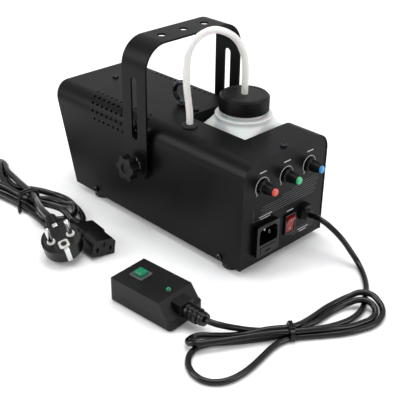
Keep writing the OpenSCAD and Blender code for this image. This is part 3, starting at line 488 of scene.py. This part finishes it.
def tube(points, radius, sides=20, closed=False, flat=1.0):
    """A round tube that follows the points; flat squeezes its section across the path."""
    bm = shape()
    rings = []
    count = len(points)

    def point_at(i):
        return points[i % count] if closed else points[min(max(i, 0), count - 1)]

    ahead = [(point_at(i + 1) - point_at(i - 1)).normalized() for i in range(count)]
    side = ahead[0].orthogonal().normalized()
    for point, way in zip(points, ahead):
        side = (side - way * side.dot(way)).normalized()
        up = way.cross(side)
        made = bmesh.ops.create_circle(bm, cap_ends=False, radius=radius, segments=sides)["verts"]
        frame_of = Matrix((side, up * flat, way)).transposed().to_4x4()
        bmesh.ops.transform(bm, matrix=Matrix.Translation(point) @ frame_of, verts=made)
        rings.append(loop_edges(made))
    pairs = list(zip(rings, rings[1:]))
    if closed:
        pairs.append((rings[-1], rings[0]))
    for a, b in pairs:
        bmesh.ops.bridge_loops(bm, edges=a + b)
    if not closed:
        for ring in (rings[0], rings[-1]):
            bmesh.ops.contextual_create(bm, geom=ring)
    bmesh.ops.recalc_face_normals(bm, faces=bm.faces)
    return bm


def piece(name, bm, finish_name, body="casing", smooth=34, replaces=()):
    """Turns a shape in millimetres into a finished piece in metres that rides on its body."""
    bmesh.ops.remove_doubles(bm, verts=bm.verts, dist=1e-4)
    bmesh.ops.scale(bm, vec=(MM, MM, MM), verts=bm.verts)
    mesh = bpy.data.meshes.new(name)
    bm.to_mesh(mesh)
    bm.free()
    mesh.shade_smooth()
    mesh.set_sharp_from_angle(angle=math.radians(smooth))
    made = bpy.data.objects.new(name, mesh)
    bpy.context.scene.collection.objects.link(made)
    mesh.materials.append(FINISHES[finish_name])
    even = made.modifiers.new("even shading", "WEIGHTED_NORMAL")
    even.keep_sharp = True
    even.weight = 60
    if body:
        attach(made, body)
    if replaces:
        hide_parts(*replaces)
    return made


def copied(node):
    """A merged copy of a frame node's mesh, in millimetres, with flat areas made whole."""
    bm = shape()
    bm.from_mesh(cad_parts[node].data)
    bmesh.ops.scale(bm, vec=(PER_M, PER_M, PER_M), verts=bm.verts)
    bmesh.ops.remove_doubles(bm, verts=bm.verts, dist=0.002)
    bmesh.ops.dissolve_degenerate(bm, edges=bm.edges, dist=0.001)
    bmesh.ops.dissolve_limit(
        bm, angle_limit=math.radians(FLAT_WITHIN), verts=bm.verts, edges=bm.edges, delimit={"NORMAL"}
    )
    return bm


def refined(node, finish_name, body="casing", bevel=0.0, smooth=34):
    """A frame node's own shape with softened edges and smooth rounds."""
    bm = copied(node)
    if bevel:
        soften(bm, bevel)
    return piece(node + "_shape", bm, finish_name, body, smooth, (node,))


# ---------- sizes and colours to change ----------


class FogLook(bpy.types.PropertyGroup):
    """Colours of the fog machine."""

    coat_colour: bpy.props.StringProperty(
        name="Coat", description="Powder coat's deep shade", default="#030304"
    )
    coat_highlight: bpy.props.StringProperty(
        name="Coat high", description="Powder coat's raised grain", default="#08080A"
    )
    hose_colour: bpy.props.StringProperty(name="Hose", description="Feed hose", default="#E4E4DF")
    bottle_colour: bpy.props.StringProperty(name="Bottle", description="Tank bottle", default="#D6D7D5")
    rocker_colour: bpy.props.StringProperty(
        name="Rocker", description="Power rocker", default="#5E0C08"
    )
    red_cap: bpy.props.StringProperty(
        name="Red cap", description="Cap of the red level knob", default="#C02C24"
    )
    green_cap: bpy.props.StringProperty(
        name="Green cap", description="Cap of the green level knob", default="#1F9A5E"
    )
    blue_cap: bpy.props.StringProperty(
        name="Blue cap", description="Cap of the blue level knob", default="#1D76B4"
    )
    button_colour: bpy.props.StringProperty(
        name="Button", description="Fog button on the remote", default="#046B45"
    )


class FogSizes(bpy.types.PropertyGroup):
    """Sizes of the cords and of the small softened edges."""

    remote_cable_d: bpy.props.FloatProperty(
        name="Remote cable", description="Diameter of the remote's cable", default=0.0053, unit="LENGTH"
    )
    mains_lead_d: bpy.props.FloatProperty(
        name="Mains lead", description="Diameter of the mains lead", default=0.0065, unit="LENGTH"
    )
    hose_d: bpy.props.FloatProperty(
        name="Feed hose", description="Outside diameter of the feed hose", default=0.0065, unit="LENGTH"
    )
    sheet_edge: bpy.props.FloatProperty(
        name="Sheet edge", description="Softening of folded sheet edges", default=0.0003, unit="LENGTH"
    )


# ---------- operators ----------


class FOG_OT_stage(bpy.types.Operator):
    """Pale floor, soft light and the camera"""

    bl_idname = "fog.stage"
    bl_label = "Stage"

    def execute(self, context):
        scene = context.scene
        camera = bpy.data.objects.new("camera", bpy.data.cameras.new("camera"))
        camera.data.lens = CAMERA_LENS
        camera.data.sensor_width = CAMERA_SENSOR
        camera.data.clip_start = 0.02
        right, up = Vector(CAMERA_RIGHT), Vector(CAMERA_UP)
        back = right.cross(up).normalized()
        up = back.cross(right).normalized()
        camera.matrix_world = Matrix.Translation(CAMERA_AT) @ Matrix((right, up, back)).transposed().to_4x4()
        scene.collection.objects.link(camera)
        scene.camera = camera
        scene.view_settings.view_transform = "Standard"

        bm = shape()
        bmesh.ops.create_grid(bm, x_segments=2, y_segments=2, size=3)
        mesh = bpy.data.meshes.new("floor")
        bm.to_mesh(mesh)
        bm.free()
        floor = bpy.data.objects.new("floor", mesh)
        scene.collection.objects.link(floor)
        mesh.materials.append(finish("matt white board", "#F6F6F6", "#FAFAFA", 30, (0.8, 0.9), 0.01))

        world = bpy.data.worlds.new("studio")
        scene.world = world
        world.use_nodes = True
        sky = world.node_tree.nodes["Background"]
        sky.inputs["Color"].default_value = linear(SKY_COLOUR)
        sky.inputs["Strength"].default_value = SKY_STRENGTH
        for name, where, size, watts, target in SOFTBOXES:
            light = bpy.data.lights.new(name, "AREA")
            light.shape = "SQUARE"
            light.size = size
            light.energy = watts
            lamp = bpy.data.objects.new(name, light)
            lamp.location = where
            lamp.rotation_euler = (Vector(where) - Vector(target)).to_track_quat("Z", "Y").to_euler()
            scene.collection.objects.link(lamp)
        return {"FINISHED"}


def cord_curve(name, route, diameter):
    """One smooth open spline through the route's points."""
    curve = bpy.data.curves.new(name, "CURVE")
    curve.dimensions = "3D"
    curve.bevel_depth = diameter / 2
    curve.bevel_resolution = 4
    curve.use_fill_caps = True
    curve.resolution_u = 6
    line = curve.splines.new("BEZIER")
    line.bezier_points.add(len(route) - 1)
    for knot, place in zip(line.bezier_points, route):
        knot.co = Vector(place) * MM
        knot.handle_left_type = knot.handle_right_type = "AUTO"
    made = bpy.data.objects.new(name, curve)
    bpy.context.scene.collection.objects.link(made)
    curve.materials.append(FINISHES["cable_rubber"])
    return made


class FOG_OT_cords(bpy.types.Operator):
    """Remote cable and mains lead with their ties"""

    bl_idname = "fog.cords"
    bl_label = "Cords"

    def execute(self, context):
        sizes = context.scene.fog_sizes
        cable = cord_curve("remote_cable", REMOTE_CABLE_ROUTE, sizes.remote_cable_d)
        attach(cable, "casing")
        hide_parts("remote_cable_run", "remote_cable_hank", "remote_cable_end")
        band = self.band(REMOTE_TIE, REMOTE_TIE_TURN, width=16.6, height=9.6, low=-0.9, thick=1.1)
        tie = piece("remote_cable_tie", band, "gloss_black_plastic", replaces=("hank_tie",))
        lead = cord_curve("mains_lead", MAINS_LEAD_ROUTE, sizes.mains_lead_d)
        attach(lead, "casing")
        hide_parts("mains_hank", "mains_tails")
        return {"FINISHED"}

    @staticmethod
    def band(where, turn, width, height, low, thick):
        """A flat strap round a bundle, with its buckle on top."""
        loops = []
        bm = shape()
        for half, out in ((-2.3, 0), (-1.9, thick), (1.9, thick), (2.3, 0), (1.9, -0.1), (-1.9, -0.1)):
            made = bmesh.ops.create_circle(bm, cap_ends=False, radius=1, segments=56)["verts"]
            for vert in made:
                a = math.atan2(vert.co.y, vert.co.x)
                y = squarer(math.cos(a), 0.62) * (width / 2 + out)
                z = squarer(math.sin(a), 0.62) * (height / 2 + out)
                vert.co = Vector((half, y, z + height / 2))
            loops.append(loop_edges(made))
        for a, b in zip(loops, loops[1:] + loops[:1]):
            bmesh.ops.bridge_loops(bm, edges=a + b)
        bmesh.ops.recalc_face_normals(bm, faces=bm.faces)
        buckle = block((5.4, 5.2, 1.9), (0, -2.0, height + thick + 0.5), 0.6, 0.4)
        end = block((3.6, 6.0, 0.9), (0, 3.0, height + thick + 0.4), 0.4, 0.2)
        return moved(joined(bm, buckle, end), at(where[0], where[1], low + thick, rz=turn))


class FOG_OT_plug(bpy.types.Operator):
    """Mains plug, connector and the twist tie on the lead"""

    bl_idname = "fog.plug"
    bl_label = "Plug and connector"

    def execute(self, context):
        place = at(*PLUG_AT, *PLUG_TURN)
        boot = []
        for k in range(7):
            guard = rib(6.35 - 0.27 * k, 0.5, 0.75, 0.75)
            boot.append(moved(guard, at(0, 22.4 + 1.95 * k, -7.5, rx=90)))
        for k in range(5):
            width = 15.4 - 1.15 * k
            boot.append(block((width, 1.35, width * 0.72), (0, 19.4 + 2.75 * k, -8.2), 0, 0.35))
        shell = copied("mains_plug")
        soften(shell, 0.5)
        body = joined(shell, moved(joined(*boot), place))
        plug = piece("plug_body", body, "gloss_black_plastic", replaces=("mains_plug",))
        step = turned([(14.6, -0.4), (14.9, 0.35), (15.6, 0.5), (16.3, 0.35), (16.6, -0.4)], 64)
        rim = piece("plug_rim", moved(step, place), "gloss_black_plastic")
        pins, collars, clips = [], [], []
        for s in (-1, 1):
            pin = turned([(0, 19), (1.3, 18.85), (2.15, 18), (2.4, 16.8), (2.4, -1), (0, -1)], 28)
            pins.append(moved(pin, at(s * PIN_HALF_PITCH)))
            collar = turned([(2.45, 0), (2.5, 1.1), (3.4, 1.0), (3.9, 0.5), (4.0, 0)], 32)
            collars.append(moved(collar, at(s * PIN_HALF_PITCH)))
            clips.append(block((4.6, 1.3, 14.5), (0, s * 17.9, -6.4), 0, 0.4))
            clips.append(block((4.6, 4.2, 1.2), (0, s * 16.3, 0.65), 0, 0.4))
        pin_piece = piece(
            "plug_pin_pair", moved(joined(*pins), place), "bright_nickel", replaces=("plug_pins",)
        )
        collar_piece = piece("plug_pin_rings", moved(joined(*collars), place), "pale_nylon")
        clip_piece = piece("plug_earth_clips", moved(joined(*clips), place), "bright_nickel")
        # pale socket for the earth pin; its mouth is a black disc, painted shade standing in for the deep hole
        pad = joined(
            block((9.6, 9.6, 1.2), (0, EARTH_Y, 0.3), 2.2, 0.4),
            moved(turned([(3.2, 0), (3.25, 0.9), (3.7, 0.9), (3.9, 0)], 32), at(0, EARTH_Y, 0.6)),
        )
        pad_piece = piece("plug_earth_pad", moved(pad, place), "pale_nylon")
        # the hole is not cut: a black disc fills it as painted shade
        hole = turned([(0, 1.0), (2.7, 1.0), (3.0, 0.6), (3.0, -1), (0, -1)], 28)
        mouth = piece("plug_earth_hole_shade", moved(hole, place @ at(0, EARTH_Y, 0)), "black_plastic")

        connector = copied("mains_connector")
        soften(connector, 0.6)
        spot = at(*CONNECTOR_AT, *CONNECTOR_TURN)
        rings = []
        for k in range(6):
            guard = rib(6.3 - 0.3 * k, 0.4, 0.7, 0.8)
            rings.append(moved(guard, at(-42.5 - 2.9 * k, 0, 0, ry=90)))
        for k in range(4):
            rings.append(block((1.1, 18, 0.9), (-25 - 3.2 * k, 0, 8.6), 0, 0.3))
        connector = joined(connector, moved(joined(*rings), spot))
        socket = piece("lead_connector", connector, "gloss_black_plastic", replaces=("mains_connector",))

        around = []
        for turn in range(2):
            ring = []
            for k in range(44):
                a = math.tau * k / 44
                across = squarer(math.cos(a), 0.8) * 10.2
                height = squarer(math.sin(a), 0.8) * 8.3
                lean = 1.5 * math.sin(a) * (1 if turn else -0.3)
                ring.append(Vector((lean + 2.6 * turn, across, height + 9.8)))
            around.append(tube(ring, 1.45, 8, closed=True))
        tail = []
        for strand in (0, math.pi):
            path = []
            for k in range(19):
                a = strand + k * 0.8
                y, z = -10.4 - 0.2 * k + 1.15 * math.cos(a), 4.8 - 0.12 * k + 1.15 * math.sin(a)
                path.append(Vector((1.5 + 0.6 * k, y, z)))
            tail.append(tube(path, 1.0, 7))
        twist = moved(joined(*around, *tail), at(*MAINS_TIE, 0, rz=MAINS_TIE_TURN))
        wire_tie = piece("mains_twist_tie", twist, "black_plastic")

        return {"FINISHED"}


class FOG_OT_casing(bpy.types.Operator):
    """Folded cover, panels, base and their fixings"""

    bl_idname = "fog.casing"
    bl_label = "Casing"

    def execute(self, context):
        edge = context.scene.fog_sizes.sheet_edge * PER_M
        refined("cover", "powder_coat", smooth=30)
        refined("rear_panel", "powder_coat", smooth=30)
        refined("front_panel", "powder_coat", smooth=30)
        refined("casing_screws", "black_steel", smooth=30)
        refined("eye_bolt", "black_steel", smooth=40)
        refined("hose_grommet", "black_rubber", smooth=30)
        refined("feet", "black_rubber", bevel=0.5)
        refined("handle_bracket", "powder_coat", "handle", bevel=edge, smooth=30)
        for side in ("near", "far"):
            refined(side + "_washer", "plated_steel", side + "_clamp", bevel=0.2)
            refined(side + "_star_knob", "black_plastic", side + "_hand_knob", bevel=0.7, smooth=40)
        for node, stuff in INNER_FINISHES:
            dress(node, stuff)
        return {"FINISHED"}


def dress(node, finish_name):
    """Gives a frame node its finish, in every material slot it has."""
    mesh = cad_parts[node].data
    if not mesh.materials:
        mesh.materials.append(FINISHES[finish_name])
    for index in range(len(mesh.materials)):
        mesh.materials[index] = FINISHES[finish_name]


class FOG_OT_tank(bpy.types.Operator):
    """Bottle, screw cap and feed hose"""

    bl_idname = "fog.tank"
    bl_label = "Tank and hose"

    def execute(self, context):
        x, y = TANK_XY
        bm = shape()
        loops = []
        for z, half, corner in BOTTLE_RINGS:
            made = bmesh.ops.create_circle(bm, cap_ends=False, radius=1, segments=BOTTLE_SEGMENTS)["verts"]
            for vert in made:
                vert.co = self.square_point(math.atan2(vert.co.y, vert.co.x), half, corner, z)
            loops.append(loop_edges(made))
        for a, b in zip(loops, loops[1:]):
            bmesh.ops.bridge_loops(bm, edges=a + b)
        bmesh.ops.contextual_create(bm, geom=loops[0])
        bmesh.ops.recalc_face_normals(bm, faces=bm.faces)
        bottle = piece("bottle_shell", moved(bm, at(x, y)), "milky_bottle", "tank", smooth=38, replaces=("bottle",))
        wall = bottle.modifiers.new("wall", "SOLIDIFY")
        wall.thickness = BOTTLE_WALL * MM
        wall.offset = -1
        # long and short marks by turns
        marks = []
        for k in range(9):
            width, y_mark = (6, 22) if k % 2 else (11, 19.5)
            marks.append(block((0.5, width, 0.7), (34.6, y_mark, 42 + 6 * k), 0, 0.15))
        piece("bottle_level_marks", moved(joined(*marks), at(x, y)), "milky_bottle", "tank")

        refined("bottle_cap", "black_plastic", "cap", smooth=9)
        ridge = turned([(18.2, 15.0), (18.5, 15.25), (19.2, 15.4), (19.9, 15.25), (20.3, 14.9)], 72)
        piece("cap_top_ridge", moved(ridge, at(x, y, CAP_Z)), "black_plastic", "cap")

        line = smooth_route(HOSE_ROUTE, 6)
        outer = tube(line, context.scene.fog_sizes.hose_d * PER_M / 2, 24)
        hose = piece("feed_hose_tube", outer, "milky_hose", None, smooth=60)
        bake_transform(hose)
        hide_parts("feed_hose")
        return {"FINISHED"}

    @staticmethod
    def square_point(angle, half, corner, z):
        """Where a ray at this angle meets a square with round corners."""
        c, s = math.cos(angle), math.sin(angle)
        reach = half / max(abs(c), abs(s))
        inner = half - corner
        px, py = c * reach, s * reach
        if abs(px) > inner and abs(py) > inner and corner > 0:
            ox, oy = math.copysign(inner, px), math.copysign(inner, py)
            b = c * ox + s * oy
            reach = b + math.sqrt(max(b * b - (ox * ox + oy * oy - corner * corner), 0))
            px, py = c * reach, s * reach
        return Vector((px, py, z))


class FOG_OT_panel_controls(bpy.types.Operator):
    """Mains inlet, switch, level knobs, cable gland and the printed rules"""

    bl_idname = "fog.controls"
    bl_label = "Control panel"

    def execute(self, context):
        refined("inlet_housing", "gloss_black_plastic", bevel=0.35)
        refined("fuse_drawer", "gloss_black_plastic", "fuse_tray", bevel=0.25)
        refined("switch_frame", "gloss_black_plastic", bevel=0.3)
        refined("cable_gland", "black_plastic", bevel=0.4)
        refined("power_rocker", "red_rocker", "rocker", bevel=0.3, smooth=30)
        tilt = at(*SWITCH_AT, ry=ROCKER_TILT)
        marks = []
        for z, sign in ((4.3, 1), (-4.3, -1)):
            lean = math.degrees(math.asin(z / ROCKER_R))
            x = ROCKER_AXIS_X - math.sqrt(ROCKER_R**2 - z * z)
            spot = tilt @ at(x + 0.02, 0, z, ry=lean)
            if sign > 0:
                marks.append(moved(block((0.22, 0.7, 2.8), (0, 0, 0), 0, 0.05), spot))
            else:
                ring = turned([(1.0, -0.1), (1.05, 0.12), (1.55, 0.12), (1.6, -0.1)], 32)
                marks.append(moved(ring, spot @ at(ry=90)))
        piece("rocker_marks", joined(*marks), "button_white", "rocker")

        for k, colour in KNOBS:
            y = k * KNOB_PITCH
            skirt = turned(KNOB_OUTLINE, 72)
            flutes = [
                moved(block((0.55, 0.5, 9.6), (0, 0, 0), 0, 0.12), at(rz=360 / FLUTES * n) @ at(4.5, 0, 9, ry=-8))
                for n in range(FLUTES) if n != POINTER_FLUTE
            ]
            pointer = moved(block((0.9, 1.5, 11), (0, 0, 0), 0, 0.25), at(0, 4.45, 8.8, rx=8))
            body = moved(joined(skirt, *flutes, pointer), at(PANEL_FACE, y, KNOB_Z, ry=90) @ at(rz=90))
            piece(colour + "_knob_shape", body, "black_plastic", colour + "_control", replaces=(colour + "_knob",))
            lid = turned(KNOB_CAP_OUTLINE, 56)
            piece(
                colour + "_cap_shape", moved(lid, at(PANEL_FACE, y, KNOB_Z, ry=90)), colour + "_plastic",
                colour + "_control", replaces=(colour + "_cap",),
            )
            line = block((0.6, 2.9, 0.3), (0, 1.7, 16.14), 0, 0.08)
            piece(
                colour + "_knob_line", moved(line, at(PANEL_FACE, y, KNOB_Z, ry=90) @ at(rz=90)), "pale_ink",
                colour + "_control",
            )

        prints = []
        for k, _ in KNOBS:
            arc = [self.on_scale(k, q, SCALE_R) for q in range(-SCALE_TURN, SCALE_TURN + 1, 5)]
            prints.append(tube(arc, 0.28, 6))
            for q in (-SCALE_TURN, SCALE_TURN):
                prints.append(moved(block((0.25, 0.5, 1.8)), at(*self.on_scale(k, q, SCALE_END_R), rx=-q)))
            prints.append(block((0.25, 8.5, 0.9), (PRINT_X, k * KNOB_PITCH, KNOB_Z + 14)))
        for y, z, w in LABELS:
            prints.append(block((0.25, w, 0.7), (PRINT_X, y, z)))
        piece("panel_printing", joined(*prints), "pale_ink")
        rules = []
        for row in range(8):
            # the top three start further in, clear of the knobs
            first, last = (-33, 47) if row > 2 else (-4 + 11 * (2 - row), 49)
            width = last - first - (row * 5) % 9
            rules.append(block((0.2, width, 0.5), (PRINT_X, (first + last) / 2, 70 - RULE_PITCH * row)))
        for row in range(3):
            rules.append(block((0.2, 44 - 6 * row, 0.5), (PRINT_X, 25 + 2 * row, 21.5 - RULE_PITCH * row)))
        rules.append(block((0.2, 0.3, 13), (PRINT_X, -42, 58)))
        rules.append(block((0.2, 22, 0.3), (PRINT_X, -31, 51.6)))
        piece("panel_fine_rules", joined(*rules), "faint_ink")
        return {"FINISHED"}

    @staticmethod
    def on_scale(knob, turn, radius):
        """A point of a knob's printed scale, by its turn from upright in degrees."""
        a = math.radians(turn)
        return Vector((PRINT_X, knob * KNOB_PITCH + radius * math.sin(a), KNOB_Z + radius * math.cos(a)))


class FOG_OT_remote(bpy.types.Operator):
    """Wired remote with its button, lamp and boot"""

    bl_idname = "fog.remote"
    bl_label = "Remote"

    def execute(self, context):
        refined("remote_upper_shell", "black_plastic", bevel=0.7, smooth=40)
        refined("remote_lower_shell", "black_plastic", bevel=0.5, smooth=40)
        refined("button_bezel", "grey_plastic", bevel=0.3)
        refined("remote_button", "green_button", "button", bevel=0.5)
        refined("remote_relief", "gloss_black_plastic", bevel=0.35, smooth=40)
        place = at(*REMOTE_AT, 0, rz=REMOTE_TURN)
        seat = joined(
            block((12.4, 15.4, 12.6), (29.6, 0, 14.5), 0.9, 0.5),
            block((17, 11.6, 9.2), (42.5, 0, 13), 2.2, 0.6),
        )
        piece("remote_boot_seat", moved(seat, place), "black_plastic")
        lamp = turned([(0, 3.0), (1.2, 2.7), (2.1, 1.9), (2.45, 0.8), (2.5, -1), (0, -1)], 32)
        piece("remote_lamp", moved(lamp, place @ at(REMOTE_LAMP_X, 0, REMOTE_H - 0.9)), "green_button")
        collar = turned([(2.55, -1), (2.6, 0.25), (3.0, 0.45), (3.5, 0.25), (3.6, -0.4)], 32)
        piece("remote_lamp_collar", moved(collar, place @ at(REMOTE_LAMP_X, 0, REMOTE_H)), "gloss_black_plastic")
        return {"FINISHED"}


OPERATORS = (
    FOG_OT_stage, FOG_OT_cords, FOG_OT_plug, FOG_OT_casing, FOG_OT_tank, FOG_OT_panel_controls, FOG_OT_remote,
)


class FOG_PT_panel(bpy.types.Panel):
    """Lists the fog machine's groups of pieces"""

    bl_idname = "FOG_PT_panel"
    bl_label = "Fog machine"
    bl_space_type = "VIEW_3D"
    bl_region_type = "UI"
    bl_category = "Fog machine"

    def draw(self, context):
        for maker in OPERATORS:
            self.layout.operator(maker.bl_idname)
        for group in (context.scene.fog_look, context.scene.fog_sizes):
            for name in group.bl_rna.properties.keys():
                if name not in ("name", "rna_type"):
                    self.layout.prop(group, name)


CLASSES = (FogLook, FogSizes) + OPERATORS + (FOG_PT_panel,)


def register():
    for made in CLASSES:
        bpy.utils.register_class(made)
    bpy.types.Scene.fog_look = bpy.props.PointerProperty(type=FogLook)
    bpy.types.Scene.fog_sizes = bpy.props.PointerProperty(type=FogSizes)


def unregister():
    del bpy.types.Scene.fog_sizes
    del bpy.types.Scene.fog_look
    for made in reversed(CLASSES):
        bpy.utils.unregister_class(made)


def main():
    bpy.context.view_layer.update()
    register()
    make_finishes(bpy.context.scene.fog_look)
    for maker in OPERATORS:
        group, name = maker.bl_idname.split(".")
        getattr(getattr(bpy.ops, group), name)()


if __name__ == "__main__":
    main()
